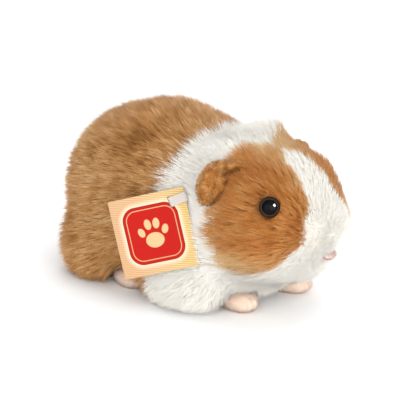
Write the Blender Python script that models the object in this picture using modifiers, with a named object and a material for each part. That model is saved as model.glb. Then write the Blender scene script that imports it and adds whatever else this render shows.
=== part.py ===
"""Plush guinea pig with a card hang tag: a soft toy 0.19 m long, lying on its belly.

Blender's metres, +Z up, +X towards the nose, origin on the floor under the belly. The numbers below are
millimetres and degrees, and mm() turns them into metres. The toy is symmetric about y = 0, except for the tag
on its right (-Y) side. The plush is made whole, out to the tips of its pile, and then parted by thin cuts.
"""

import math

import bmesh
import bpy
from mathutils import Euler, Matrix, Vector

GAP = 0.3  # between neighbouring pieces
REACH = 300  # half-size of the blocks that stand for half-spaces
SIDES = {"right": -1, "left": 1}

# The plush, as squashed balls that grow together: centre, radii, and pitch about Y.
# A lump with y above zero is made on both sides.
LUMPS = {
    "rump": ((-51, 0, 49.5), (43, 48.5, 49.5), 0),
    "back": ((-28, 0, 61), (47, 47, 45), 0),
    "loin": ((-4, 0, 61), (36, 45, 41), 0),
    "shoulders": ((24, 0, 59.5), (30, 43, 38), 0),
    "nape": ((33, 14, 88), (13, 16, 14), 0),
    "belly": ((-4, 0, 27), (62, 45, 30), 0),
    "flank": ((-24, 14, 40), (48, 36, 32), 0),
    "chest": ((34, 0, 30), (32, 37, 30), 0),
    "haunch": ((-53, 28, 18.5), (31.5, 28.5, 27), 0),
    "upper_arm": ((14, 34, 14), (33, 21, 20), 0),
    "shoulder_side": ((16, 20, 38), (32, 28, 28), 0),
    "skull": ((55, 0, 63), (38, 38, 32), 24),
    "cheek": ((59, 20, 47), (27, 22, 24), 0),
    "muzzle": ((79, 0, 54), (21, 27, 19), 15),
    "whisker_pad": ((80, 12, 49), (16.5, 15, 14.5), 0),
    "brow": ((64, 15, 75), (18, 16.5, 15), 0),
    "chin": ((72, 0, 32), (16, 17, 13), 0),
}
BLEND_GROW = 7  # each lump is made this much bigger, and the whole is drawn back in, which fills the valleys
BLEND_VOXEL = 5.8
BLEND_PASSES, SETTLE_PASSES = 5, 4
BLEND_KEEP = 0.42  # share of the facets kept, where the skin is flat enough

# Where the plush is parted. A cut is a point (x, z) and a lean: 0 stands upright, above 0 the top tips forward.
COLLAR_CUT = ((-8, 50), 16.7)
NAPE_CUT = ((32.5, 54), 8)
JAW_CUT = ((55, 21), -71)
LIMBS = {  # the ball that cuts each limb out, on the left side
    "haunch": ((-56, 47, 20), (34, 23, 35)),
    "foreleg": ((16, 47, 12), (35, 21, 25)),
}

# Sewn-on parts: centre, radii and turn, on the left side where they come in pairs.
FEET = {
    "forepaw": ((42, 18.5, 5.3), (14, 9.5, 7), (0, 0, 8)),
    "hindfoot": ((-28, 35.5, 5), (12, 7.8, 6.5), (0, 0, 12)),
}
EYE = ((71, 27.4, 69.9), (5.8, 5.8, 5.8))
NOSE = ((92.5, 0, 40.5), (4.2, 6, 3.2), (0, 38, 0))
EAR_CENTRE = (42.5, 36, 78.5)
LEFT_CENTRES = {"ear": (45, 36, 75), "forepaw": (46.5, 22, 5.3)}  # what sits a little differently on the left
EAR_FACING = (0.70, 0.63, 0.33)  # the way its hollow opens
EAR_LEAN = 38  # how far its long axis leans over, towards the crown
EAR_SHIFT = (0.8, 1.0, 0.2)  # to the middle of the flap, along its short axis, long axis and facing
EAR_HALF_WIDTH, EAR_HALF_LENGTH, EAR_THICK = 11.5, 19.5, 3.2
EAR_CUP, EAR_DROOP = 4.0, 6.0  # how far its rim curls forward, and its lower end bends back

# The hang tag, in a frame of its own: u along its top edge, v up its side and n out of its face.
TAG_CENTRE = (6.3, -50.4, 45.2)
TAG_AZIMUTH, TAG_ELEVATION, TAG_ROLL = 28, 12, 16.3
TAG_SIDE, TAG_THICK, TAG_CORNER = 45, 0.8, 0.8
SLOT_AT, SLOT_SIZE = (13.3, 15.4), (1.5, 6.6)
RIBBON_WIDTH, RIBBON_THICK, RIBBON_TURN = 5.4, 0.5, 9.5
RIBBON_LOOP = 10.6  # from the slot to the far end of the loop, past the card's edge
RIBBON_CLEAR = 0.35  # between the ribbon and the faces of the card

COLOURS = {  # linear colour and roughness
    "plush_brown": ((0.50, 0.26, 0.11), 0.95),
    "plush_white": ((0.80, 0.79, 0.76), 0.95),
    "plush_orange": ((0.46, 0.18, 0.045), 0.95),
    "velour_tan": ((0.40, 0.15, 0.035), 0.9),
    "velour_pink": ((0.86, 0.62, 0.52), 0.9),
    "nose_pink": ((0.80, 0.42, 0.38), 0.7),
    "eye_black": ((0.006, 0.005, 0.005), 0.08),
    "card_cream": ((0.86, 0.70, 0.40), 0.45),
    "ribbon_satin": ((0.85, 0.80, 0.70), 0.4),
}


def mm(*values):
    return Vector([value / 1000 for value in values])


def clear_scene():
    for obj in list(bpy.data.objects):
        bpy.data.objects.remove(obj, do_unlink=True)


def collection(name):
    made = bpy.data.collections.new(name)
    bpy.context.scene.collection.children.link(made)
    return made


def material(name, colour, roughness):
    made = bpy.data.materials.new(name)
    made.use_nodes = True
    shader = made.node_tree.nodes["Principled BSDF"]
    shader.inputs["Base Color"].default_value = (*colour, 1)
    shader.inputs["Roughness"].default_value = roughness
    shader.inputs["Metallic"].default_value = 0
    return made


def add_object(name, shape, group, finish=None, frame=None):
    """An object from a bmesh or a mesh. Without a finish it is a cutter, drawn as wire and not rendered."""
    if isinstance(shape, bmesh.types.BMesh):
        mesh = bpy.data.meshes.new(name)
        shape.to_mesh(mesh)
        shape.free()
    else:
        mesh = shape
    obj = bpy.data.objects.new(name, mesh)
    group.objects.link(obj)
    if frame is not None:
        obj.matrix_world = frame
    if finish is None:
        obj.hide_render = True
        obj.display_type = "WIRE"
    else:
        mesh.materials.append(finish)
        mesh.shade_smooth()
    return obj


def placed(centre, turn=(0, 0, 0), side=1):
    """A frame at centre, turned about X, Y and Z. Side -1 gives its mirror image across y = 0."""
    spin = Euler((math.radians(turn[0] * side), math.radians(turn[1]), math.radians(turn[2] * side)))
    return Matrix.LocRotScale(mm(centre[0], centre[1] * side, centre[2]), spin, None)


def foot_shape(foot, word):
    centre, radii, turn = FEET[foot]
    if word == "left":
        centre = LEFT_CENTRES.get(foot, centre)
    return centre, radii, turn


def ball(name, group, finish, centre, radii, turn=(0, 0, 0), side=1, grow=0, segments=16):
    bm = bmesh.new()
    bmesh.ops.create_uvsphere(bm, u_segments=segments, v_segments=segments // 2, radius=1)
    bmesh.ops.scale(bm, vec=mm(*[radius + grow for radius in radii]), verts=bm.verts)
    return add_object(name, bm, group, finish, placed(centre, turn, side))


def block(name, group, frame, low, high):
    """A cutter: a box between two corners, given in the frame's own axes."""
    low, high = Vector(low), Vector(high)
    bm = bmesh.new()
    bmesh.ops.create_cube(bm, size=1)
    bmesh.ops.scale(bm, vec=mm(*(high - low)), verts=bm.verts)
    bmesh.ops.translate(bm, vec=mm(*(high + low) / 2), verts=bm.verts)
    return add_object(name, bm, group, frame=frame)


def half_space(name, cut, side, shift):
    """A big block before (+1) or behind (-1) a leaning cut, starting this far from it."""
    (x, z), lean = cut
    frame = placed((x, 0, z), (0, lean, 0))
    near, far = (shift, REACH) if side > 0 else (-REACH, -shift)
    return block(name, CUTTERS, frame, (near, -REACH, -REACH), (far, REACH, REACH))


def trim(obj, operation, *cutters):
    for cutter in cutters:
        step = obj.modifiers.new(f"{operation.lower()} {cutter.name}", "BOOLEAN")
        step.operation = operation
        step.solver = "EXACT"
        step.object = cutter
    return obj


def bake(obj):
    """Takes the shape that the modifiers give for the object's own mesh."""
    bpy.context.view_layer.update()
    mesh = bpy.data.meshes.new_from_object(obj.evaluated_get(bpy.context.evaluated_depsgraph_get()))
    obj.modifiers.clear()
    obj.data = mesh
    return obj


def smooth(obj, passes):
    step = obj.modifiers.new(f"smooth {passes}", "SMOOTH")
    step.factor = 0.5
    step.iterations = passes


def displace(obj, distance):
    step = obj.modifiers.new("displace", "DISPLACE")
    step.mid_level = 0
    step.strength = distance / 1000


def grow_together(name, lumps, group):
    """Balls joined into one skin, smoothed and drawn in, so that they blend as stuffed cloth does."""
    bm = bmesh.new()
    for centre, radii, pitch in lumps:
        for side in (1, -1) if centre[1] else (1,):
            size = Matrix.Diagonal((*mm(*[radius + BLEND_GROW for radius in radii]), 1))
            frame = placed(centre, (0, pitch, 0), side) @ size
            bmesh.ops.create_uvsphere(bm, u_segments=32, v_segments=20, radius=1, matrix=frame)
    obj = add_object(name, bm, group)
    remesh = obj.modifiers.new("one skin", "REMESH")
    remesh.mode = "VOXEL"
    remesh.voxel_size = BLEND_VOXEL / 1000
    smooth(obj, BLEND_PASSES)
    displace(obj, -BLEND_GROW)
    smooth(obj, SETTLE_PASSES)
    thin_out = obj.modifiers.new("thin out", "DECIMATE")
    thin_out.ratio = BLEND_KEEP
    thin_out.use_symmetry = True
    thin_out.symmetry_axis = "Y"
    obj.modifiers.new("flat faces", "TRIANGULATE")
    return bake(obj)


def plush_piece(name, finish, keep=(), cut=()):
    """A copy of the whole plush, cut down to what lies inside all of keep and outside all of cut."""
    obj = add_object(name, PLUSH.data.copy(), TOY, finish)
    trim(obj, "INTERSECT", *keep)
    return trim(obj, "DIFFERENCE", *cut)


def ear_frame(side):
    """Centred in the ear, with x towards its free edge, y up its long axis and z out of its hollow."""
    facing = Vector((EAR_FACING[0], EAR_FACING[1] * side, EAR_FACING[2])).normalized()
    up = (Vector((0, 0, 1)) - facing * facing.z).normalized()
    back = facing.cross(up) * -side
    axes = Matrix((back, up, facing)).transposed().to_4x4()
    centre = EAR_CENTRE if side < 0 else LEFT_CENTRES["ear"]
    return placed(centre, side=side) @ axes @ Matrix.Rotation(math.radians(EAR_LEAN), 4, "Z")


def make_ear(word, side):
    """A cupped flap of velour: a thick oval, rim curled forward, lying from the crown down behind the cheek."""
    frame = ear_frame(side) @ placed(EAR_SHIFT)
    bm = bmesh.new()
    bmesh.ops.create_uvsphere(bm, u_segments=20, v_segments=8, radius=1)
    for vert in bm.verts:
        a, b, c = vert.co
        cup = EAR_CUP * (a * a - 0.3) - EAR_DROOP * max(0, -b) ** 2
        vert.co = frame @ mm(EAR_HALF_WIDTH * a, EAR_HALF_LENGTH * b, EAR_THICK / 2 * c + cup)
    bmesh.ops.recalc_face_normals(bm, faces=bm.faces)
    ear = add_object(f"ear_{word}", bm, TOY, FINISH["velour_tan"])
    return trim(ear, "DIFFERENCE", SWOLLEN)


def tag_frame():
    azimuth, elevation = math.radians(TAG_AZIMUTH), math.radians(TAG_ELEVATION)
    level = Vector((math.cos(azimuth), math.sin(azimuth), 0))
    out = Vector((level.y * math.cos(elevation), -level.x * math.cos(elevation), math.sin(elevation)))
    axes = Matrix((level, out.cross(level), out)).transposed().to_4x4()
    return placed(TAG_CENTRE) @ axes @ Matrix.Rotation(math.radians(TAG_ROLL), 4, "Z")


def ribbon_frame():
    """Centred in the card's slot, with x along the ribbon."""
    return tag_frame() @ placed((*SLOT_AT, 0), (0, 0, RIBBON_TURN))


def make_card():
    bm = bmesh.new()
    bmesh.ops.create_cube(bm, size=1)
    bmesh.ops.scale(bm, vec=mm(TAG_SIDE, TAG_SIDE, TAG_THICK), verts=bm.verts)
    corners = [edge for edge in bm.edges if abs(edge.verts[0].co.z - edge.verts[1].co.z) > 1e-6]
    bmesh.ops.bevel(bm, geom=corners, offset=TAG_CORNER / 1000, segments=2, profile=0.5, affect="EDGES")
    card = add_object("tag_card", bm, TAG, FINISH["card_cream"], tag_frame())
    card.data.shade_flat()
    half_wide, half_long = SLOT_SIZE[0] / 2, SLOT_SIZE[1] / 2
    slot = block("tag_slot", CUTTERS, ribbon_frame(), (-half_wide, -half_long, -3), (half_wide, half_long, 3))
    return trim(card, "DIFFERENCE", slot)


def make_ribbon():
    """A flat band in one closed loop: through the slot, over the face, round the card's edge and back behind."""
    radius = TAG_THICK / 2 + RIBBON_CLEAR
    ends = (radius, RIBBON_LOOP - radius - RIBBON_THICK)
    bm = bmesh.new()
    path = []
    for end, first in zip(ends, (90, -90)):
        for step in range(9):
            angle = math.radians(first + 180 * step / 8)
            point = mm(end + radius * math.cos(angle), -RIBBON_WIDTH / 2, radius * math.sin(angle))
            path.append(bm.verts.new(point))
    loop = [bm.edges.new((path[i - 1], path[i])) for i in range(len(path))]
    swept = bmesh.ops.extrude_edge_only(bm, edges=loop)["geom"]
    moved = [item for item in swept if isinstance(item, bmesh.types.BMVert)]
    bmesh.ops.translate(bm, vec=mm(0, RIBBON_WIDTH, 0), verts=moved)
    bmesh.ops.recalc_face_normals(bm, faces=bm.faces)
    ribbon = add_object("tag_ribbon", bm, TAG, FINISH["ribbon_satin"], ribbon_frame())
    cloth = ribbon.modifiers.new("cloth", "SOLIDIFY")
    cloth.thickness = RIBBON_THICK / 1000
    cloth.offset = 1
    return ribbon


def tag_presses():
    """What the card and the ribbon press flat: the pile behind them, cleared out to well past the toy."""
    half = TAG_SIDE / 2 + GAP
    back = -TAG_THICK / 2 - GAP
    behind_card = block("card_press", CUTTERS, tag_frame(), (-half, -half, back), (half, half, 30))
    wide = RIBBON_WIDTH / 2 + GAP
    low = (-RIBBON_THICK - GAP, -wide, back - RIBBON_CLEAR - RIBBON_THICK)
    behind_ribbon = block("ribbon_press", CUTTERS, ribbon_frame(), low, (RIBBON_LOOP + GAP, wide, 30))
    return [behind_card, behind_ribbon]


clear_scene()
TOY, TAG, CUTTERS = collection("guinea_pig"), collection("hang_tag"), collection("cutters")
FINISH = {name: material(name, *look) for name, look in COLOURS.items()}

floor = block("floor_block", CUTTERS, None, (-REACH, -REACH, -REACH), (REACH, REACH, 0))
PLUSH = bake(trim(grow_together("whole_plush", LUMPS.values(), CUTTERS), "DIFFERENCE", floor))
SWOLLEN = add_object("swollen_plush", PLUSH.data.copy(), CUTTERS)
displace(SWOLLEN, GAP)

pockets = {}  # the room for each sewn-on part, and round each limb
for word, side in SIDES.items():
    pockets["eye", word] = ball(f"eye_{word}_pocket", CUTTERS, None, *EYE, side=side, grow=GAP)
    for foot in FEET:
        shape = foot_shape(foot, word)
        pockets[foot, word] = ball(f"{foot}_{word}_pocket", CUTTERS, None, *shape, side=side, grow=GAP)
    for limb, shape in LIMBS.items():
        room = ball(f"{limb}_{word}_room", CUTTERS, None, *shape, side=side, grow=GAP, segments=20)
        pockets[limb, word] = room
nose_pocket = ball("nose_pocket", CUTTERS, None, *NOSE, grow=GAP)
eye_pockets = [pockets["eye", word] for word in SIDES]
forepaw_pockets = [pockets["forepaw", word] for word in SIDES]
hindfoot_pockets = [pockets["hindfoot", word] for word in SIDES]
limb_rooms = [pockets[limb, word] for limb in LIMBS for word in SIDES]
presses = tag_presses()

for word, side in SIDES.items():
    for limb, foot, cloth in (("foreleg", "forepaw", "plush_white"), ("haunch", "hindfoot", "plush_brown")):
        cutter = ball(f"{limb}_{word}_ball", CUTTERS, None, *LIMBS[limb], side=side, segments=20)
        pressed = presses if (limb, word) == ("foreleg", "right") else []
        plush_piece(f"{limb}_{word}", FINISH[cloth], keep=[cutter], cut=[pockets[foot, word], *pressed])

head_room = half_space("head_room", NAPE_CUT, 1, -GAP / 2)
trim(head_room, "INTERSECT", half_space("head_room_below", JAW_CUT, 1, -GAP / 2))
behind_collar = half_space("behind_collar", COLLAR_CUT, -1, GAP / 2)
before_collar = half_space("before_collar", COLLAR_CUT, 1, GAP / 2)
head_sides = [half_space("before_nape", NAPE_CUT, 1, GAP / 2), half_space("above_jaw", JAW_CUT, 1, GAP / 2)]
taken = [*limb_rooms, *presses]  # room that no part of the body fills
plush_piece("trunk", FINISH["plush_brown"], [behind_collar], [*taken, *hindfoot_pockets])
neck_room = [*taken, head_room, *forepaw_pockets, *hindfoot_pockets]
plush_piece("neck", FINISH["plush_white"], [before_collar], neck_room)
plush_piece("head", FINISH["plush_orange"], head_sides, [*taken, *eye_pockets, nose_pocket])

for word, side in SIDES.items():
    ball(f"eye_{word}", TOY, FINISH["eye_black"], *EYE, side=side)
    make_ear(word, side)
    for foot in FEET:
        shape = foot_shape(foot, word)
        trim(ball(f"{foot}_{word}", TOY, FINISH["velour_pink"], *shape, side=side), "DIFFERENCE", floor)
ball("nose", TOY, FINISH["nose_pink"], *NOSE)
make_card()
make_ribbon()
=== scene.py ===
import math
import bmesh
import bpy
import numpy as np
from mathutils import Matrix, Vector
from mathutils.bvhtree import BVHTree
from mathutils.kdtree import KDTree


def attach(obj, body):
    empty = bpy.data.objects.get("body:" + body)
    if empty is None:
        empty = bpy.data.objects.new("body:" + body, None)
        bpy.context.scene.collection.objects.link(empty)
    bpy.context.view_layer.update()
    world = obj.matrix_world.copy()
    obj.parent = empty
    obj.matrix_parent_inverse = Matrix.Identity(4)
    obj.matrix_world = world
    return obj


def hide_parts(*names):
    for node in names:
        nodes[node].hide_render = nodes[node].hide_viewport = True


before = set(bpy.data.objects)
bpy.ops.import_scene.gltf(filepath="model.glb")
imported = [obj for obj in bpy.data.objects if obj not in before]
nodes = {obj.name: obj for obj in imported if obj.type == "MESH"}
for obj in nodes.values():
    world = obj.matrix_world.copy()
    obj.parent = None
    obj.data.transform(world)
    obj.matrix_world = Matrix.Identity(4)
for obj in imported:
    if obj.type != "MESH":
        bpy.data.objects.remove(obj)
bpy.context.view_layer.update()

# Lengths are millimetres until a mesh is made. Rows of numpy arrays are points, strands or faces.
sides = {"left": 1, "right": -1}
perMetre = 1000.0


# helpers: vectors and meshes

def unit(rows):
    return rows / np.maximum(np.linalg.norm(rows, axis=-1, keepdims=True), 1e-9)


def dot(a, b):
    return np.sum(a * b, axis=-1)


def ease(value, start, end):
    t = np.clip((value - start) / (end - start), 0, 1)
    return t * t * (3 - 2 * t)


def blend(a, b, share):
    return a + (b - a) * share


def bothSides(points):  # every point on the left, or its mirror image there
    return points * (1, 0, 1) + np.abs(points) * (0, 1, 0)


def frameAt(place, across, up, out):
    made = Matrix((across, up, out)).transposed().to_4x4()
    made.translation = Vector(place)
    return made


def throughFrame(made, points):
    table = np.array(made)
    return points @ table[:3, :3].T + table[:3, 3]


def readMesh(mesh):
    mesh.calc_loop_triangles()
    points = np.empty(len(mesh.vertices) * 3, np.float32)
    mesh.vertices.foreach_get("co", points)
    normals = np.empty(len(mesh.vertices) * 3, np.float32)
    mesh.vertex_normals.foreach_get("vector", normals)
    corners = np.empty(len(mesh.loop_triangles) * 3, np.int32)
    mesh.loop_triangles.foreach_get("vertices", corners)
    return points.reshape(-1, 3) * perMetre, normals.reshape(-1, 3), corners.reshape(-1, 3)


def meshFrom(name, points, triangles):
    mesh = bpy.data.meshes.new(name)
    mesh.vertices.add(len(points))
    mesh.vertices.foreach_set("co", (points / perMetre).astype(np.float32).ravel())
    mesh.loops.add(triangles.size)
    mesh.loops.foreach_set("vertex_index", triangles.astype(np.int32).ravel())
    mesh.polygons.add(len(triangles))
    mesh.polygons.foreach_set("loop_start", np.arange(0, triangles.size, 3, dtype=np.int32))
    mesh.update(calc_edges=True)
    mesh.shade_smooth()
    return mesh


def addObject(name, mesh, *materials):
    obj = bpy.data.objects.new(name, mesh)
    bpy.context.scene.collection.objects.link(obj)
    for finish in materials:
        mesh.materials.append(finish)
    return obj


def bake(obj):
    bpy.context.view_layer.update()
    shaped = obj.evaluated_get(bpy.context.evaluated_depsgraph_get())
    mesh = bpy.data.meshes.new_from_object(shaped)
    obj.modifiers.clear()
    obj.data = mesh
    return obj


def modify(obj, kind, **settings):
    step = obj.modifiers.new(kind.lower(), kind)
    for key, value in settings.items():
        setattr(step, key, value)
    return step


def movePoints(mesh, points):
    mesh.vertices.foreach_set("co", (points / perMetre).astype(np.float32).ravel())
    mesh.update()


def setAttribute(mesh, name, values):
    mesh.attributes.new(name, "FLOAT", "POINT").data.foreach_set("value", values.astype(np.float32))


# helpers: materials

def colour(code):  # a hex code as the linear colour that a node takes
    channels = [int(code[i:i + 2], 16) / 255 for i in (1, 3, 5)]
    return (*[c / 12.92 if c < 0.04045 else ((c + 0.055) / 1.055) ** 2.4 for c in channels], 1)


def addNode(tree, kind, inputs=None, **settings):
    made = tree.nodes.new("ShaderNode" + kind)
    for key, value in settings.items():
        setattr(made, key, value)
    for key, value in (inputs or {}).items():
        if isinstance(value, bpy.types.NodeSocket):
            tree.links.new(value, made.inputs[key])
        else:
            made.inputs[key].default_value = value
    return made


def ramp(tree, factor, *stops):
    made = addNode(tree, "ValToRGB", {"Fac": factor})
    elements = made.color_ramp.elements
    while len(elements) < len(stops):
        elements.new(0.5)
    for element, (place, code) in zip(elements, stops):
        element.position = place
        element.color = colour(code)
    return made.outputs["Color"]


def mix(tree, factor, a, b, mode="MIX"):
    made = addNode(tree, "Mix", data_type="RGBA", blend_type=mode)
    for key, value in ((0, factor), (6, a), (7, b)):  # the Mix node's sockets for colours
        if isinstance(value, bpy.types.NodeSocket):
            tree.links.new(value, made.inputs[key])
        else:
            made.inputs[key].default_value = value
    return made.outputs[2]


def maths(tree, operation, *values):
    made = addNode(tree, "Math", dict(enumerate(values)), operation=operation)
    return made.outputs[0]


def attribute(tree, name):
    return addNode(tree, "Attribute", attribute_name=name).outputs["Fac"]


def noise(tree, scale, detail=2.0, vector=None):
    vector = vector or addNode(tree, "TexCoord").outputs["Object"]
    return addNode(tree, "TexNoise", {"Vector": vector, "Scale": scale, "Detail": detail}).outputs["Fac"]


# painted shade: a strand darker at its root, deep in the coat, than at its tip
def paintRootShade(tree, tint, least, most=1.0):  # tint a strand less at its root than at its tip
    share = attribute(tree, "along")
    shade = addNode(tree, "MapRange", {"Value": share, "To Min": least, "To Max": most}).outputs[0]
    grey = addNode(tree, "CombineColor", {"Red": shade, "Green": shade, "Blue": shade}).outputs[0]
    return mix(tree, 1.0, tint, grey, "MULTIPLY")


def newMaterial(name, **constants):
    made = bpy.data.materials.new(name)
    made.use_nodes = True
    shader = made.node_tree.nodes["Principled BSDF"]
    for key, value in constants.items():
        shader.inputs[key.replace("_", " ")].default_value = value
    return made, made.node_tree, shader


def bump(tree, shader, height, distance, strength=1.0):
    made = addNode(tree, "Bump", {"Height": height, "Distance": distance / perMetre, "Strength": strength})
    tree.links.new(made.outputs[0], shader.inputs["Normal"])


# floor, light and camera

# distance is metres, the target and the width seen there millimetres
view = {"azimuth": 42, "elevation": 20, "distance": 1.1, "target": (5.4, -10.9, 54.3), "width": 229.885}
room = {"floorSize": 8.0, "floorColours": ("#fefefe", "#fbfbfb"), "floorGrain": 30.0, "ambient": 0.76}
lamps = {  # azimuth runs from -Y towards +X; distance and size are metres
    "front": {"azimuth": 32, "elevation": 14, "distance": 1.5, "size": 1.6, "watts": 13.5},
    "fill": {"azimuth": 80, "elevation": 6, "distance": 1.2, "size": 1.0, "watts": 10.5},
    "key": {"azimuth": 74, "elevation": 46, "distance": 1.3, "size": 1.3, "watts": 2.5},
    "back": {"azimuth": 200, "elevation": 66, "distance": 1.4, "size": 1.3, "watts": 8.5},
    "glint": {"azimuth": 96, "elevation": 28, "distance": 1.2, "size": 0.4, "watts": 110.0},
}


def outwards(azimuth, elevation):
    a, e = math.radians(azimuth), math.radians(elevation)
    return Vector((math.sin(a) * math.cos(e), -math.cos(a) * math.cos(e), math.sin(e)))


def aimed(obj, azimuth, elevation, distance, target):
    away = outwards(azimuth, elevation)
    obj.location = target + away * distance
    obj.rotation_euler = away.to_track_quat("Z", "Y").to_euler()
    bpy.context.scene.collection.objects.link(obj)
    return obj


glossy = bpy.data.collections.new("glossy")  # what the glint lamp lights


def makeCamera(target):
    lens = bpy.data.cameras.new("camera")
    lens.lens = lens.sensor_width * view["distance"] * perMetre / view["width"]
    camera = bpy.data.objects.new("camera", lens)
    bpy.context.scene.camera = aimed(camera, view["azimuth"], view["elevation"], view["distance"], target)


def makeLamps(target):
    for name, lamp in lamps.items():
        light = bpy.data.lights.new(name, "AREA")
        light.size = lamp["size"]
        light.energy = lamp["watts"]
        holder = bpy.data.objects.new(name, light)
        aimed(holder, lamp["azimuth"], lamp["elevation"], lamp["distance"], target)
        if name == "glint":  # the light spot in the eyes, on nothing else
            holder.light_linking.receiver_collection = glossy
            holder.visible_diffuse = False
    world = bpy.data.worlds.new("studio")
    world.use_nodes = True
    world.node_tree.nodes["Background"].inputs["Color"].default_value = (1, 1, 1, 1)
    world.node_tree.nodes["Background"].inputs["Strength"].default_value = room["ambient"]
    bpy.context.scene.world = world
    bpy.context.scene.view_settings.view_transform = "Standard"


def makeFloor():
    finish, tree, shader = newMaterial("paper", Roughness=0.9, Specular_IOR_Level=0.1)
    grain = ramp(tree, noise(tree, room["floorGrain"]), *enumerate(room["floorColours"]))
    tree.links.new(grain, shader.inputs["Base Color"])
    bm = bmesh.new()
    bmesh.ops.create_grid(bm, x_segments=1, y_segments=1, size=room["floorSize"] / 2)
    mesh = bpy.data.meshes.new("floor")
    bm.to_mesh(mesh)
    addObject("floor", mesh, finish)


target = Vector(view["target"]) / perMetre
makeCamera(target)
makeLamps(target)
makeFloor()
print("room")


# the outer form of the pile, and the cloth skin under it

flesh = ["trunk", "neck", "head"] + [f"{limb}_{side}" for limb in ("foreleg", "haunch") for side in sides]
face = {"noseTip": (97, 0, 50), "centre": (55, 0, 60), "eye": (71, 27.4, 70.5), "eyeAxis": (0.62, 0.68, 0.34),
        "mouth": (90, 0, 38), "mouthReach": (6, 9, 4), "blush": 0.75, "blushEdge": (0.3, 1.1)}
seams = {"collar": (-8, 50, 16.7), "nape": (32.5, 54, 8), "jaw": (55, 21, -71)}  # x, z and lean of each cut
skinShape = {
    "weld": 0.35, "formVoxel": 2.2, "voxel": 4.0, "smooth": {"factor": 0.5, "iterations": 3},
    # how deep the skin lies under the coat's outer form: on the body, from the nose back, round the eyes and
    # near the floor
    "bodyDepth": 7.0, "muzzleDepth": 2.6, "cheekDepth": 5.6, "noseReach": (10, 62), "eyeDepth": 1.2,
    "eyeSlope": 0.28, "floorShare": 0.55, "floorReach": (0, 16), "neckSoft": 8.0,
    "pressure": 4.0, "frames": 20, "swell": 1.2, "seamReach": 3.0,
}


def pastCut(points, cut):
    x, z, lean = cut
    turn = math.radians(lean)
    return (points[:, 0] - x) * math.cos(turn) - (points[:, 2] - z) * math.sin(turn)


def onHead(points, soft=3.0):
    inside = np.minimum(pastCut(points, seams["nape"]), pastCut(points, seams["jaw"]))
    return ease(inside, -soft, soft)


def eyeDistance(points):
    return np.linalg.norm(bothSides(points) - face["eye"], axis=1)


def coatDepth(points):
    fromNose = np.linalg.norm(points - face["noseTip"], axis=1)
    head = blend(skinShape["muzzleDepth"], skinShape["cheekDepth"], ease(fromNose, *skinShape["noseReach"]))
    head = np.minimum(head, skinShape["eyeDepth"] + skinShape["eyeSlope"] * eyeDistance(points))
    raised = ease(points[:, 2], *skinShape["floorReach"])
    body = skinShape["bodyDepth"] * blend(skinShape["floorShare"], 1.0, raised)
    return blend(body, head, onHead(points, skinShape["neckSoft"]))


def makeForm():
    bm = bmesh.new()
    for name in flesh:
        bm.from_mesh(nodes[name].data)
    mesh = bpy.data.meshes.new("form")
    bm.to_mesh(mesh)
    form = addObject("form", mesh)
    modify(form, "DISPLACE", mid_level=0, strength=skinShape["weld"] / perMetre)
    modify(form, "REMESH", mode="VOXEL", voxel_size=skinShape["formVoxel"] / perMetre)
    modify(form, "SMOOTH", **skinShape["smooth"])
    return bake(form)


def stuff(obj, pinned, quickly):
    start = readMesh(obj.data)[0]
    group = obj.vertex_groups.new(name="seams")
    group.add([int(i) for i in np.flatnonzero(pinned)], 1.0, "REPLACE")
    cloth = modify(obj, "CLOTH")
    cloth.settings.vertex_group_mass = group.name
    cloth.settings.use_pressure = True
    cloth.settings.uniform_pressure_force = skinShape["pressure"]
    cloth.settings.effector_weights.gravity = 0
    scene = bpy.context.scene
    frames = 1 if quickly else skinShape["frames"]
    for step in range(1, frames + 1):
        scene.frame_set(step)
    shaped = obj.evaluated_get(bpy.context.evaluated_depsgraph_get())
    moved = readMesh(shaped.data)[0] - start
    far = np.linalg.norm(moved, axis=1, keepdims=True)
    kept = start + moved * np.minimum(1, skinShape["swell"] / np.maximum(far, 1e-6))
    scene.frame_set(1)
    obj.modifiers.clear()
    obj.vertex_groups.clear()
    movePoints(obj.data, kept)


def makeSkin(form):
    points, normals, triangles = readMesh(form.data)
    inner = points - normals * coatDepth(points)[:, None]
    skin = addObject("skin", meshFrom("skin", inner, triangles))
    modify(skin, "REMESH", mode="VOXEL", voxel_size=skinShape["voxel"] / perMetre)
    modify(skin, "SMOOTH", **skinShape["smooth"])
    bake(skin)
    points = readMesh(skin.data)[0]
    seamDistance = np.min([np.abs(pastCut(points, cut)) for cut in seams.values()], axis=0)
    stuff(skin, seamDistance < skinShape["seamReach"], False)
    modify(skin, "SUBSURF", levels=1, render_levels=1)
    bake(skin)
    skin.data.shade_smooth()
    return skin


form = makeForm()
formTree = BVHTree.FromObject(form, bpy.context.evaluated_depsgraph_get())
skin = makeSkin(form)
bpy.data.objects.remove(form)
print("skin", len(skin.data.vertices))


# markings: the same functions colour the skin and the coat

patch = {  # the brown patch on each cheek, as its reach in degrees round its middle, from the front upwards
    "middle": (0.147, 0.982, 0.118), "mmPerDegree": 0.7,
    "reach": (54, 59, 63, 67, 89, 63, 42, 41, 39, 43, 46, 47, 45, 45, 50),
}
collarLine = {"x": -3, "from": 67, "lean": 0.36}  # where the white begins, and how far it leans forward above
borders = {"wander": 1.6, "wave": 17, "seed": 3, "bodyStray": 2.2, "edge": 0.4}
fullTurn = 6.28


def ripple(points, wave, seed):
    phases = np.random.default_rng(seed).uniform(0, fullTurn, (4, 2))[:, 0]
    turns = np.random.default_rng(seed + 1).normal(size=(4, 3))
    waves = [np.sin(points @ unit(turn) * fullTurn / wave + phase) for turn, phase in zip(turns, phases)]
    return np.mean(waves, axis=0)


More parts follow.
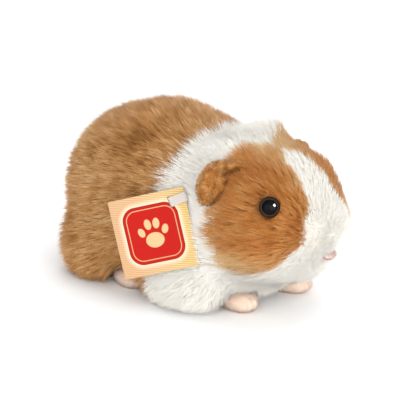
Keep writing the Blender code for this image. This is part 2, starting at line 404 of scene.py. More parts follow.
def insidePatch(points, side):
    middle = np.array(patch["middle"]) * (1, side, 1)
    ahead = unit(np.array((1, 0, 0)) - middle * middle[0])
    above = np.cross(middle, ahead)
    above = above * np.sign(above[2])
    heading = unit(points - face["centre"])
    away = np.degrees(np.arccos(np.clip(heading @ middle, -1, 1)))
    around = np.degrees(np.arctan2(heading @ above, heading @ ahead)) % 360
    reach = np.append(patch["reach"], patch["reach"][0])
    return np.interp(around, np.linspace(0, 360, len(reach)), reach) - away


def blushAt(points):
    away = np.linalg.norm((points - face["mouth"]) / face["mouthReach"], axis=1)
    return face["blush"] * (1 - ease(away, *face["blushEdge"]))


def markings(points, stray):  # how brown the points are, and whether they are on the head
    onFace = np.maximum(insidePatch(points, 1), insidePatch(points, -1)) * patch["mmPerDegree"]
    head = onHead(points, 0.5) > 0.5
    line = collarLine["x"] + collarLine["lean"] * np.maximum(points[:, 2] - collarLine["from"], 0)
    body = line - points[:, 0]
    wander = borders["wander"] * ripple(points, borders["wave"], borders["seed"])
    margin = np.where(head, onFace, body) + wander + stray * np.where(head, 1.0, borders["bodyStray"])
    return ease(margin, -borders["edge"], borders["edge"]), head.astype(float)


# where the hang tag lies, for the coat to keep behind it

tag = {
    "centre": (6.3, -50.4, 45.2), "azimuth": 28, "elevation": 12, "roll": 16.3, "side": 45, "ribbonTurn": 9.5,
}


def tagAxes():
    azimuth, elevation = math.radians(tag["azimuth"]), math.radians(tag["elevation"])
    level = Vector((math.cos(azimuth), math.sin(azimuth), 0))
    out = Vector((level.y * math.cos(elevation), -level.x * math.cos(elevation), math.sin(elevation)))
    spin = Matrix.Rotation(math.radians(tag["roll"]), 3, out)
    return spin @ level, spin @ out.cross(level), out


# where the eyes and the feet lie, for the coat to keep off them

eye = {
    "ball": 7.2, "sunk": 3.6, "open": 40.0, "rim": 5.0, "steps": 14, "turns": 56, "rimReflection": (4.6, 4.95),
    # the rim's turned lip, as out and up from the dome's edge, and how deep the dome's back lies
    "lip": ((-0.3, -0.1), (-0.18, 0.02), (-0.05, 0), (0, -0.15), (0, -0.7), (-0.3, -0.9)), "back": 0.9,
    "felt": 5.25, "feltThick": 0.6, "feltSquash": 0.7, "feltSteps": 14, "feltSunk": 0.15, "feltGap": 0.2,
    # edgeColour paints a reflection: a lighter ring near the glass's rim
    "glassColours": ("#050404", "#0d0908"), "edgeColour": "#5c5046", "feltColours": ("#1c110a", "#3a281a"),
}
feet = {
    "forepaw": {
        "right": (41.4, 18.7, 5.3), "left": (46, 22, 5.3), "radii": (14.8, 9.5, 7), "turn": 8, "toes": 4,
    },
    "hindfoot": {
        "right": (-28, 35.5, 5), "left": (-28, 35.5, 5), "radii": (12, 7.8, 6.5), "turn": 12, "toes": 3,
    },
}


def footFrame(kind, word, side):
    x, y, z = feet[kind][word]
    turn = Matrix.Rotation(math.radians(feet[kind]["turn"] * side), 4, "Z")
    return Matrix.Translation((x, y * side, z)) @ turn


def offFeet(points, margin):
    clear = np.full(len(points), True)
    for kind, foot in feet.items():
        for word, side in sides.items():
            local = throughFrame(footFrame(kind, word, side).inverted(), points)
            clear &= np.linalg.norm(local / (np.array(foot["radii"]) + margin), axis=1) > 1
    return clear


# coat: strands of three sides, grown in clumps over the skin

coat = {
    "bodyDensity": 2.55, "headDensity": 4.0, "underDensity": 0.45, "underHeight": (6, 14), "underWidth": 30,
    "clumpSize": 1.9, "tuftSize": 6.5, "mostStrands": 19000,
    # the lie: where the strands stream away from, and their lift off the skin in degrees at root and tip
    "flowCentre": (50, 0, 46), "flowSoft": 5.0, "droop": 0.18, "lean": 0.12, "liftSpread": 5, "lockLift": 14,
    "bodyLift": (74, 44), "faceLift": (46, 15), "legLift": (60, 22), "muzzleLift": (75, 48),
    "browLift": (14, 18), "neckSoft": 6.0, "legHeight": (4, 20), "muzzleReach": (16, 34),
    "browHeight": (66, 78),
    # the crest behind the crown, where they stand highest
    "nape": (37, 8, 98), "napeSquash": (1, 0.6, 1), "napeReach": 18, "napeSoft": 10, "napeLift": (84, 62),
    "napeLength": 0.6,
    # length, from how far the coat's outer form is
    "rooted": 0.4, "headExtra": 0.6, "upright": (0.8, 9), "leastRise": 0.3, "lengths": (0.86, 1.12),
    "lockLengths": (0.9, 1.1), "tuftLengths": (0.9, 1.12), "whiteEven": 0.8, "length": (1.5, 15),
    "mostReach": 2.6, "guardShare": 0.18, "guardReach": 0.4, "whiteGuard": 0.4, "guardThin": 0.4,
    # how far the tips draw together in clumps
    "brownPull": (0.15, 0.55), "whitePull": (0.0, 0.25), "muzzlePull": 0.7, "midPull": 0.4, "markDepth": 4,
    "bodyWidth": 0.41, "headWidth": 0.30, "whiteWidth": 0.34, "widths": (0.8, 1.15), "edgeShading": 0.25,
    # what the coat keeps clear of
    "floor": 0.35, "offFeet": 3.6, "tipsOffFeet": 0.6, "offCard": 1.6, "behindCard": 0.9, "offEye": 5.9,
    "nearEye": 14, "behindEye": 9, "eyeHole": 8, "rearX": -42,
}
rng = np.random.default_rng(11)


def scatter(points, normals, triangles, density):
    corners = points[triangles]
    area = np.linalg.norm(np.cross(corners[:, 1] - corners[:, 0], corners[:, 2] - corners[:, 0]), axis=1) / 2
    wanted = area * density(corners.mean(axis=1))
    count = np.floor(wanted + rng.random(len(wanted))).astype(int)
    pick = np.repeat(np.arange(len(triangles)), count)
    share = rng.random((len(pick), 2))
    share = np.where(share.sum(axis=1, keepdims=True) > 1, 1 - share, share)
    weights = np.column_stack([1 - share.sum(axis=1), share])[:, :, None]
    place = np.sum(points[triangles[pick]] * weights, axis=1)
    return place, unit(np.sum(normals[triangles[pick]] * weights, axis=1))


def turned(vector, axis, angle):
    c, s = np.cos(angle)[:, None], np.sin(angle)[:, None]
    return vector * c + np.cross(axis, vector) * s + axis * dot(axis, vector)[:, None] * (1 - c)


def flowAt(points, normals):
    head = onHead(points, coat["flowSoft"])[:, None]
    away = blend(unit(points - coat["flowCentre"]), unit(points - face["noseTip"]), head)
    away = away - (0, 0, coat["droop"]) * (1 - head)
    return unit(away - normals * dot(away, normals)[:, None])


def nearestClump(roots, size):
    count = max(1, int(len(roots) / (size ** 2 * coat["bodyDensity"])))
    centres = rng.choice(len(roots), count, replace=False)
    tree = KDTree(count)
    for i, c in enumerate(centres):
        tree.insert(roots[c], i)
    tree.balance()
    return centres[[tree.find(root)[1] for root in roots]]


def regions(roots):
    head = onHead(roots, coat["neckSoft"])
    low = 1 - ease(roots[:, 2], *coat["legHeight"])
    fromNose = np.linalg.norm(roots - face["noseTip"], axis=1)
    muzzle = head * (1 - ease(fromNose, *coat["muzzleReach"]))
    brow = head * ease(roots[:, 2], *coat["browHeight"])
    fromNape = np.linalg.norm((roots - coat["nape"]) * coat["napeSquash"], axis=1)
    nape = ease(coat["napeReach"] - fromNape, 0, coat["napeSoft"])
    return head, low, muzzle, brow, nape


def liftAt(end, head, low, muzzle, brow, nape):
    lift = blend(coat["bodyLift"][end], coat["faceLift"][end], head)
    lift = blend(lift, coat["legLift"][end], low * (1 - head))
    lift = blend(lift, coat["muzzleLift"][end], muzzle) + coat["browLift"][end] * brow
    return blend(lift, coat["napeLift"][end], nape * (1 - head))


def lengthAt(reach, rise, head, nape, white, guard, lock, tuft):
    length = np.clip(reach + coat["headExtra"] * head, *coat["upright"]) / np.maximum(rise, coat["leastRise"])
    length = length * blend(*coat["lengths"], rng.random(len(reach)))
    uneven = blend(*coat["lockLengths"], lock) * blend(*coat["tuftLengths"], tuft)
    even = np.maximum(head, coat["whiteEven"] * white)
    length = np.clip(length * blend(uneven, 1, even), *coat["length"])
    length *= 1 + coat["guardReach"] * guard * (1 - coat["whiteGuard"] * white)
    return np.minimum(length, (reach + coat["mostReach"]) / rise) * (1 + coat["napeLength"] * nape)


def grow(roots, normals):
    count = len(roots)
    head, low, muzzle, brow, nape = regions(roots)
    reach = np.array([formTree.find_nearest(Vector(root / perMetre))[3] for root in roots]) * perMetre
    clump = nearestClump(roots, coat["clumpSize"])
    lock = rng.random(count)[clump]
    tuft = rng.random(count)[nearestClump(roots, coat["tuftSize"])]
    guard = (rng.random(count) < coat["guardShare"]) * (1 - 0.5 * head)
    lean = rng.normal(0, coat["lean"], count)[clump] + rng.normal(0, coat["lean"], count)
    flow = turned(flowAt(roots, normals), normals, lean)
    lifts = []
    for end in (0, 1):
        lift = liftAt(end, head, low, muzzle, brow, nape)
        spread = rng.normal(0, coat["liftSpread"], count)
        lifts.append(np.radians(lift + spread + (lock - 0.5) * coat["lockLift"]))
    rise = (np.sin(lifts[0]) + np.sin(lifts[1])) / 2
    white = 1 - markings(roots + normals * coat["markDepth"], 0)[0]
    length = lengthAt(reach, rise, head, nape, white, guard, lock, tuft)
    levels = [roots - normals * coat["rooted"]]
    for lift in lifts:
        step = normals * np.sin(lift)[:, None] + flow * np.cos(lift)[:, None]
        levels.append(levels[-1] + step * length[:, None] / 2)
    least, most = (blend(coat["brownPull"][i], coat["whitePull"][i], white) for i in (0, 1))
    pull = blend(least, most, rng.random(count)) * (1 - coat["muzzlePull"] * muzzle) * (1 - guard)
    for level, share in ((2, 1), (1, coat["midPull"])):
        levels[level] = blend(levels[level], levels[level][clump], pull[:, None] * share)
    return np.stack(levels, axis=1), lock, tuft, 1 - coat["guardThin"] * guard


def offEyes(strands):
    axis = unit(np.array(face["eyeAxis"]))
    for side in sides.values():
        out = axis * (1, side, 1)
        offset = strands - np.array(face["eye"]) * (1, side, 1)
        along = offset @ out
        across = offset - out * along[:, :, None]
        wide = np.linalg.norm(across, axis=2)
        own = unit(across[:, 0])  # from the eye's middle to the strand's root
        near = (along[:, 0] > -coat["behindEye"]) & (wide[:, 0] < coat["nearEye"])
        for level in (1, 2):
            ownReach = dot(across[:, level], own)
            close = near & (ownReach < coat["offEye"]) & (wide[:, level] < coat["nearEye"])
            strands[close, level] += (own * (coat["offEye"] - ownReach)[:, None])[close]
    return strands


def behindCard(strands):
    across, up, out = (np.array(axis) for axis in tagAxes())
    offset = strands - np.array(tag["centre"])
    reach = tag["side"] / 2 + coat["offCard"]
    under = (np.abs(offset @ across) < reach) & (np.abs(offset @ up) < reach)
    over = (offset @ out + coat["behindCard"]) * under
    return strands - np.maximum(over, 0)[:, :, None] * out


def keepClear(strands):
    strands = behindCard(offEyes(strands))
    strands[:, 1:, 2] = np.maximum(strands[:, 1:, 2], coat["floor"])
    return strands


# one strand: a triangle at the root, a thinner one halfway and a point at the tip

strandForm = {"level": (0, 0, 0, 1, 1, 1, 2), "along": (0, 0, 0, 0.5, 0.5, 0.5, 1), "thick": (0.5, 0.42)}
unwrapping = {
    "towardsMiddle": (1, 0.35, 1), "tilt": (0.1, 0.2, 1), "spread": 2.05, "patch": 0.003,
    "corners": ((0, 0), (0.5, 0), (1, 0), (0, 0.5), (0.5, 0.5), (1, 0.5), (0.5, 1)),
}


def strandFaces():
    faces = [(0, 2, 1)]
    for corner in range(3):
        after = (corner + 1) % 3
        faces += [(corner, after, after + 3), (corner, after + 3, corner + 3), (corner + 3, after + 3, 6)]
    return np.array(faces)


def strandPoints(strands, width, facing):
    along = unit(np.stack([strands[:, 1] - strands[:, 0], strands[:, 2] - strands[:, 0]], axis=1))
    sideways = unit(np.cross(along, facing[:, None, :]))
    upward = np.cross(along, sideways)
    points = strands[:, strandForm["level"]]
    for level, thick in enumerate(strandForm["thick"]):
        for corner in range(3):
            angle = math.radians(90 + 120 * corner)
            spread = sideways[:, level] * math.cos(angle) + upward[:, level] * math.sin(angle)
            points[:, level * 3 + corner] += spread * (width * thick)[:, None]
    return points


def strandMesh(name, strands, width, facing, finish, values):
    count, size = len(strands), len(strandForm["level"])
    points = strandPoints(strands, width, facing)
    triangles = (np.arange(count)[:, None, None] * size + strandFaces()).reshape(-1, 3)
    mesh = meshFrom(name, points.reshape(-1, 3), triangles)
    setAttribute(mesh, "along", np.tile(strandForm["along"], count))
    for key, value in values.items():
        setAttribute(mesh, key, np.repeat(value, size))
    core = strands[:, strandForm["level"]]
    core[:, -1] -= facing
    shading = unit(unit(points - core) * coat["edgeShading"] + facing[:, None])
    normals = mesh.attributes.new("custom_normal", "FLOAT_VECTOR", "POINT")
    normals.data.foreach_set("vector", shading.astype(np.float32).ravel())
    unwrapStrands(mesh, strands[:, 0], triangles)
    return addObject(name, mesh, finish)


def unwrapStrands(mesh, roots, triangles):
    inside = roots.mean(axis=0) * unwrapping["towardsMiddle"]  # so that the piece faces one way from it
    heading = unit(roots - inside)
    middle = unit(heading.mean(axis=0))
    across = unit(np.cross(middle, unwrapping["tilt"]))
    above = np.cross(across, middle)
    away = np.arccos(np.clip(heading @ middle, -1, 1))
    flat = unit(np.column_stack([heading @ across, heading @ above])) * away[:, None]
    flat = 0.5 + flat / (unwrapping["spread"] * away.max())
    spot = flat[:, None, :] + (np.array(unwrapping["corners"]) - 0.5) * unwrapping["patch"]
    layer = mesh.uv_layers.new(name="OFBake")
    layer.uv.foreach_set("vector", spot.reshape(-1, 2)[triangles.ravel()].astype(np.float32).ravel())


# the coat's colours, and its ten pieces

plushColours = {
    "body": ((0.0, "#9a6530"), (0.3, "#bd8548"), (0.65, "#d6a066"), (1.0, "#e8bd88")),
    "head": ((0.0, "#a25c20"), (0.35, "#c67e3b"), (0.7, "#d8a063"), (1.0, "#eac48e")),
    "white": ((0.0, "#f0ebe1"), (0.5, "#fbf7ee"), (1.0, "#fffdf6")),
    # rootShade is painted shade at the strands' roots, and tipShade a little painted light at their tips
    "blush": "#f0cfc6", "rootShade": 0.55, "tipShade": 1.04,
}
shades = (  # darker and lighter places on the flanks: where, how far, how much
    ((-22, 33, 88), 26, -0.3), ((4, 5, 100), 18, 0.15), ((-42, 50, 45), 18, 0.18), ((-58, 50, 25), 14, -0.18),
)
tones = {  # two values are for the body and the head
    "broad": (0.2, 0.1), "broadWave": 34, "broadSeed": 21, "fine": 0.14, "fineWave": 13, "fineSeed": 31,
    "lock": (0.5, 0.26), "tuft": (0.34, 0.12), "spread": 0.1, "markSpread": 1.1,
    # on the brown of the head: lighter away from the eye, down the cheek, over the crown and on the far side
    # the cheek and left entries are painted light: lighter on the cheek's underside, partly its own tone, and
    # on the far side
    "least": -0.17, "offEye": (0.32, 22, 48), "cheek": (0.4, -50, -34), "crown": (0.3, 9, 22),
    "left": (0.25, 10, 26),
}


def plushMaterial():
    finish, tree, shader = newMaterial("plush", Roughness=0.75, Specular_IOR_Level=0.2, Sheen_Weight=0.15)
    tone = attribute(tree, "tone")
    body, head, white = (ramp(tree, tone, *plushColours[key]) for key in ("body", "head", "white"))
    white = mix(tree, attribute(tree, "blush"), white, colour(plushColours["blush"]))
    brown = mix(tree, attribute(tree, "head"), body, head)
    brown = paintRootShade(tree, brown, plushColours["rootShade"], plushColours["tipShade"])
    tree.links.new(mix(tree, attribute(tree, "brown"), white, brown), shader.inputs["Base Color"])
    return finish


def strandDensity(places):
    under = (1 - ease(places[:, 2], *coat["underHeight"])) * (np.abs(places[:, 1]) < coat["underWidth"])
    body = coat["bodyDensity"] * blend(1, coat["underDensity"], under)
    return blend(body, coat["headDensity"], onHead(places, coat["neckSoft"]))


def onEyes(places):
    axis = unit(np.array(face["eyeAxis"]))
    offset = bothSides(places) - face["eye"]
    wide = np.linalg.norm(np.cross(offset, axis), axis=1)
    return (wide <= eye["felt"] + eye["feltGap"]) & (offset @ axis >= -coat["eyeHole"])


def toneAt(shown, lock, tuft, headness, headBrown):
    broad, lockShare, tuftShare = (blend(*tones[key], headness) for key in ("broad", "lock", "tuft"))
    fine = tones["fine"] * ripple(shown, tones["fineWave"], tones["fineSeed"])
    tone = 0.5 + broad * ripple(shown, tones["broadWave"], tones["broadSeed"]) + fine
    tone = tone + (lock - 0.5) * lockShare + (tuft - 0.5) * tuftShare
    tone = tone + rng.normal(0, tones["spread"], len(shown))
    for place, reach, amount in shades:
        away = np.linalg.norm(bothSides(shown) - place, axis=1)
        tone += amount * (1 - ease(away, 0, reach)) * (1 - headness)
    offEye, cheek, crown, left = (tones[key] for key in ("offEye", "cheek", "crown", "left"))
    light = offEye[0] * ease(eyeDistance(shown), *offEye[1:]) + tones["least"]
    # painted light: lighter down the cheek's underside, partly its own tone, and lighter on the far side
    light += cheek[0] * ease(-shown[:, 2], *cheek[1:])
    light += crown[0] * (1 - ease(np.abs(shown[:, 1]), *crown[1:]))
    light += left[0] * ease(shown[:, 1], *left[1:])
    return np.clip(tone + headBrown * light, 0, 1)


def coatGroups(roots, brown, head):
    isHead, isBrown, rear = head > 0.5, brown > 0.5, roots[:, 0] < coat["rearX"]
    groups = {}
    for side, onSide in (("left", roots[:, 1] > 0), ("right", roots[:, 1] <= 0)):
        groups["coat_rump_" + side] = (onSide & isBrown & ~isHead & rear, "plush_brown")
        groups["coat_back_" + side] = (onSide & isBrown & ~isHead & ~rear, "plush_brown")
        groups["coat_collar_" + side] = (onSide & ~isBrown & ~isHead, "plush_white")
        groups["coat_cheek_" + side] = (onSide & isBrown & isHead, "plush_orange")
        groups["coat_muzzle_" + side] = (onSide & ~isBrown & isHead, "plush_white")
    return groups


def makeCoat(finish):
    roots, facing = scatter(*readMesh(skin.data), strandDensity)
    keep = ~onEyes(roots) & offFeet(roots, coat["offFeet"])
    roots, facing = roots[keep], facing[keep]
    strands, lock, tuft, fineness = grow(roots, facing)
    strands = keepClear(strands)
    keep = offFeet(strands[:, 1], coat["tipsOffFeet"]) & offFeet(strands[:, 2], coat["tipsOffFeet"])
    roots, facing, strands = roots[keep], facing[keep], strands[keep]
    lock, tuft, fineness = lock[keep], tuft[keep], fineness[keep]
    shown = blend(strands[:, 1], strands[:, 2], 0.5)
    brown, head = markings(shown, rng.normal(0, tones["markSpread"], len(roots)))
    headness = onHead(roots, coat["neckSoft"])
    tone = toneAt(shown, lock, tuft, headness, head * brown)
    width = blend(blend(coat["whiteWidth"], coat["bodyWidth"], brown), coat["headWidth"], headness)
    width = width * blend(*coat["widths"], rng.random(len(roots))) * fineness
    blush = blushAt(shown)
    for name, (chosen, slot) in coatGroups(roots, brown, head).items():
        index = np.flatnonzero(chosen)
        if len(index) > coat["mostStrands"]:
            index = rng.choice(index, coat["mostStrands"], replace=False)
        values = {"tone": tone[index], "brown": brown[index], "head": headness[index], "blush": blush[index]}
        piece = strandMesh(name, strands[index], width[index], facing[index], finish, values)
        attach(piece, "root")
        print(name, len(index))


def finishSkin(finish):
    points = readMesh(skin.data)[0]
    brown, head = markings(points, 0)
    # along 0.2 gives the skin the strands' painted root shade
    flat = {"tone": 0.3, "along": 0.2}
    values = {"brown": brown, "head": head, "blush": blushAt(points)}
    values.update({key: np.full(len(points), value) for key, value in flat.items()})
    for key, value in values.items():
        setAttribute(skin.data, key, value)
    skin.data.materials.clear()
    skin.data.materials.append(finish)
    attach(skin, "root")
    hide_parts(*flesh)


plush = plushMaterial()
makeCoat(plush)
finishSkin(plush)
print("coat")


# velour: short pile on a backing

nap = {
    "stray": 0.35, "lengths": (0.7, 1.15), "rooted": 0.15, "liftSpread": 9, "floor": 0.15, "tone": 0.5,
    "toneSpread": 0.2, "tints": (0.0, 0.3, 0.55, 0.9), "patches": 260.0, "grain": 1500.0,
}


def pile(name, obj, finish, density, length, width, lift, lay, toneOf=None):
    roots, facing = scatter(*readMesh(obj.data), lambda places: np.full(len(places), density))
    count = len(roots)
    away = np.array(lay) + rng.normal(0, nap["stray"], (count, 3))
    away = unit(away - facing * dot(away, facing)[:, None])
    long = length * blend(*nap["lengths"], rng.random(count))[:, None]
    levels = [roots - facing * nap["rooted"]]
    for angle in lift:
        turn = np.radians(angle + rng.normal(0, nap["liftSpread"], count))[:, None]
        levels.append(levels[-1] + (facing * np.sin(turn) + away * np.cos(turn)) * long / 2)
    strands = np.stack(levels, axis=1)
    strands[:, :, 2] = np.maximum(strands[:, :, 2], nap["floor"])
    shade = toneOf(roots) if toneOf else nap["tone"]
    values = {"tone": np.clip(shade + rng.normal(0, nap["toneSpread"], count), 0, 1)}
    print(name, count)
    return strandMesh(name, strands, np.full(count, width), facing, finish, values)


# along sets how much of the painted root shade a velour backing takes
def flatTones(obj, tone, along):
    setAttribute(obj.data, "tone", np.full(len(obj.data.vertices), tone))
    setAttribute(obj.data, "along", np.full(len(obj.data.vertices), along))


def velourMaterial(name, tints, rootShade):
    finish, tree, shader = newMaterial(name, Roughness=0.85, Specular_IOR_Level=0.15, Sheen_Weight=0.2)
    patchy = maths(tree, "MULTIPLY_ADD", noise(tree, nap["patches"], 3.0), 0.5, -0.25)
    tone = maths(tree, "ADD", attribute(tree, "tone"), patchy)
    tint = ramp(tree, tone, *zip(nap["tints"], tints))
    tree.links.new(paintRootShade(tree, tint, rootShade), shader.inputs["Base Color"])
    bump(tree, shader, noise(tree, nap["grain"]), 0.3, 0.6)
    return finish


# ears: soft folded flaps of velour, sewn on from the crown down behind the cheek

ear = {
    "centres": {"left": (45, 36, 75), "right": (42.5, 36, 78.5)}, "facing": (0.70, 0.63, 0.33), "columns": 9,
    # from the crown down: the rim as back, up and out from the centre, and the sewn edge as back and up
    "rim": (
        (-17, 11.0, -6.0), (-8.5, 11.2, -1.4), (0.3, 10.9, 1.0), (5.8, 8.0, 1.6), (9.2, 2.6, 1.6),
        (10.0, -4, 0.4), (7.5, -10.3, -3.0),
    ),
    "seam": ((-17, 7.5), (-9.5, 7.0), (-3.6, 6.0), (-4.2, 3.6), (-4.6, 0), (-1.0, -5.5), (4.2, -10.3)),
    # across the flap: how far out past the rim, how high, and what share of the way to the seam
    "section": (
        (-2.5, -2.2, 0), (0.4, -1.6, 0), (0.4, 0.6, 0), (-0.2, 1.6, 0.14), (0, 0.7, 0.5), (0, 0.2, 0.8),
        (0, 0, 1),
    ),
    "sunk": 2.2, "thick": 1.6, "levels": 3, "fold": 0.35, "foldWave": 6.0, "foldSeed": 41,
    "above": 40, "slopeStep": 0.03,
    # the tone, with a dark crease along the seam, partly the fur's own dark brown and partly painted shade
    "tone": 0.55, "mottle": 0.3, "mottleWave": 4.2, "mottleSeed": 43, "creaseDarkAndShade": 0.6,
    "creaseReach": (0.8, 4.2), "seamSteps": 40,
    "pile": {"density": 5.6, "length": 2.3, "width": 0.26, "lift": (54, 30)}, "lay": (0.7, 0.5, 0),
    "tints": ("#744617", "#b16c2c", "#c98640", "#e3b176"), "rootShade": 0.72, "skinAlong": 0.4,
}


def through(points, share):  # a smooth curve through the points
    points = np.array(points, float)
    place = share * (len(points) - 1)
    i = int(min(place, len(points) - 2))
    t = place - i
    p = [points[min(max(i + k, 0), len(points) - 1)] for k in (-1, 0, 1, 2)]
    bend = (2 * p[0] - 5 * p[1] + 4 * p[2] - p[3]) * t + (3 * p[1] - p[0] - 3 * p[2] + p[3]) * t * t
    return p[1] + (p[2] - p[0] + bend) * t / 2


def earFrame(word, side):
    facing = Vector((ear["facing"][0], ear["facing"][1] * side, ear["facing"][2])).normalized()
    up = (Vector((0, 0, 1)) - facing * facing.z).normalized()
    x, y, z = ear["centres"][word]
    return frameAt((x, y * side, z), facing.cross(up) * -side, up, facing)


def seamDepth(made, seam):  # how deep the sewn edge lies, just inside the coat's outer form
    start = made @ Vector((*seam, ear["above"]))
    hit = formTree.ray_cast(start / perMetre, -made.to_3x3().col[2])[0]
    return ear["above"] - (start / perMetre - hit).length * perMetre - ear["sunk"]


def earPoint(made, share, row):
    out, height, inwards = ear["section"][row]
    rim, seam = through(ear["rim"], share), through(ear["seam"], share)
    before, after = max(0, share - ear["slopeStep"]), min(1, share + ear["slopeStep"])
    ahead = through(ear["rim"], after) - through(ear["rim"], before)
    place = blend(rim, np.append(seam, seamDepth(made, seam)), inwards)
    place[:2] += unit(np.array((ahead[1], -ahead[0]))) * out
    place[2] += height
    return made @ Vector(place)


def shapeEar(word, made):
    rows = len(ear["section"])
    bm = bmesh.new()
    bmesh.ops.create_grid(bm, x_segments=ear["columns"], y_segments=rows - 1, size=0.5)
    for vert in bm.verts:
        row = round((vert.co.y + 0.5) * (rows - 1))
        vert.co = earPoint(made, vert.co.x + 0.5, row) / perMetre
    bmesh.ops.recalc_face_normals(bm, faces=bm.faces)
    mesh = bpy.data.meshes.new("ear_" + word)
    bm.to_mesh(mesh)
    return mesh


def seamTree(made):
    steps = ear["seamSteps"]
    tree = KDTree(steps)
    for i in range(steps):
        tree.insert(earPoint(made, i / (steps - 1), len(ear["section"]) - 1), i)
    tree.balance()
    return tree


def toneWithCreaseShade(places, seam):
    near = np.array([seam.find(place)[2] for place in places])
    crease = 1 - ease(near, *ear["creaseReach"])
    mottle = ear["mottle"] * ripple(places, ear["mottleWave"], ear["mottleSeed"])
    # the crease: partly its own darker fur, partly painted shade
    return ear["tone"] + mottle - ear["creaseDarkAndShade"] * crease


def makeEar(word, side, finish):
    made = earFrame(word, side)
    obj = addObject("ear_" + word + "_velour", shapeEar(word, made), finish)
    modify(obj, "SOLIDIFY", thickness=ear["thick"] / perMetre, offset=0)
    modify(obj, "SUBSURF", levels=ear["levels"], render_levels=ear["levels"])
    bake(obj)
    points, normals = readMesh(obj.data)[:2]
    folds = ear["fold"] * ripple(points, ear["foldWave"], ear["foldSeed"])
    movePoints(obj.data, points + normals * folds[:, None])
    obj.data.shade_smooth()
    seam = seamTree(made)
    setAttribute(obj.data, "tone", np.clip(toneWithCreaseShade(points, seam), 0, 1))
    setAttribute(obj.data, "along", np.full(len(points), ear["skinAlong"]))
    lay = tuple(made.to_3x3() @ Vector(ear["lay"]))
    fuzz = pile(
        "ear_" + word + "_pile", obj, finish, lay=lay, toneOf=lambda places: toneWithCreaseShade(places, seam),
        **ear["pile"],
    )
    for piece in (obj, fuzz):
        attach(piece, "root")
    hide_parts("ear_" + word)


earVelour = velourMaterial("ear velour", ear["tints"], ear["rootShade"])
for word, side in sides.items():
    makeEar(word, side, earVelour)
print("ears")


# feet: stuffed velour mitts with stitched toes

mitt = {
    "shrink": 0.7, "subdivisions": 5, "voxel": 0.8, "floor": 0.4, "toeLength": 7.5, "toeSpread": 0.95,
    "grooveWidth": 1.2, "grooveDepth": (0.07, 0.0105, 0.07),
    "pile": {"density": 3.8, "length": 1.5, "width": 0.25, "lift": (62, 30)}, "lay": (1, 0, -0.3),
    "tints": ("#eebfa4", "#fbd9c1", "#ffe8d6", "#fff4ea"), "rootShade": 0.88,
    "skinTone": 0.4, "skinAlong": 0.5,
}


def shapeFoot(kind, word, made):
    foot = feet[kind]
    length, spread = foot["radii"][0], foot["radii"][1] * mitt["toeSpread"]
    lines = [blend(-spread, spread, (i + 1) / foot["toes"]) for i in range(foot["toes"] - 1)]
    bm = bmesh.new()
    bmesh.ops.create_icosphere(bm, subdivisions=mitt["subdivisions"], radius=1)
    points = np.array([vert.co for vert in bm.verts]) * (np.array(foot["radii"]) - mitt["shrink"])
    near = np.min([np.abs(points[:, 1] - line) for line in lines], axis=0)
    ahead = ease(points[:, 0], length - mitt["toeLength"], length - mitt["toeLength"] / 2)
    groove = ahead * np.exp(-(near / mitt["grooveWidth"]) ** 2)
    points = throughFrame(made, points * (1 - groove[:, None] * mitt["grooveDepth"]))
    points[:, 2] = np.maximum(points[:, 2], mitt["floor"])
    for vert, point in zip(bm.verts, points):
        vert.co = point / perMetre
    mesh = bpy.data.meshes.new(f"{kind}_{word}")
    bm.to_mesh(mesh)
    return mesh


def makeFoot(kind, word, side, finish):
    made = footFrame(kind, word, side)
    obj = addObject(f"{kind}_{word}_mitt", shapeFoot(kind, word, made), finish)
    modify(obj, "REMESH", mode="VOXEL", voxel_size=mitt["voxel"] / perMetre)
    bake(obj)
    obj.data.shade_smooth()
    flatTones(obj, mitt["skinTone"], mitt["skinAlong"])
    lay = tuple(made.to_3x3() @ Vector(mitt["lay"]))
    fuzz = pile(f"{kind}_{word}_pile", obj, finish, lay=lay, **mitt["pile"])
    for piece in (obj, fuzz):
        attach(piece, "root")
    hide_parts(f"{kind}_{word}")


pawVelour = velourMaterial("paw velour", mitt["tints"], mitt["rootShade"])
for kind in feet:
    for word, side in sides.items():
        makeFoot(kind, word, side, pawVelour)
print("feet")


# eyes: glossy domes on a washer of dark felt

def turnedMesh(name, profile, made, turns):
    bm = bmesh.new()
    verts = [bm.verts.new(Vector((r, 0, h)) / perMetre) for r, h in profile]
    edges = [bm.edges.new(pair) for pair in zip(verts, verts[1:])]
    bmesh.ops.spin(
        bm, geom=verts + edges, cent=(0, 0, 0), axis=(0, 0, 1), angle=2 * math.pi, steps=turns,
        use_merge=True,
    )
    bmesh.ops.remove_doubles(bm, verts=bm.verts, dist=1e-6)  # the poles
    bmesh.ops.recalc_face_normals(bm, faces=bm.faces)
    scaled = made.copy()
    scaled.translation = made.translation / perMetre
    bm.transform(scaled)
    mesh = bpy.data.meshes.new(name)
    bm.to_mesh(mesh)
    mesh.shade_smooth()
    return mesh


def eyeFrame(side):
    out = Vector((face["eyeAxis"][0], face["eyeAxis"][1] * side, face["eyeAxis"][2])).normalized()
    across = out.cross((0, 0, 1)).normalized()
    place = Vector((face["eye"][0], face["eye"][1] * side, face["eye"][2])) - out * eye["sunk"]
    return frameAt(place, across, out.cross(across), out)


def glassMaterial():
    finish, tree, shader = newMaterial("eye gloss", Roughness=0.05, Specular_IOR_Level=0.08)
    depth = ramp(tree, noise(tree, 90.0), *zip((0.3, 0.7), eye["glassColours"]))
    # painted reflection: a lighter ring round the glass rim
    glass = mix(tree, attribute(tree, "edge"), depth, colour(eye["edgeColour"]))
    tree.links.new(glass, shader.inputs["Base Color"])
    return finish


def feltMaterial():
    finish, tree, shader = newMaterial("eye felt", Roughness=0.95, Specular_IOR_Level=0.1)
    fibres = noise(tree, 2600.0, 3.0)
    tree.links.new(ramp(tree, fibres, *zip((0.3, 0.7), eye["feltColours"])), shader.inputs["Base Color"])
    bump(tree, shader, fibres, 0.25)
    return finish


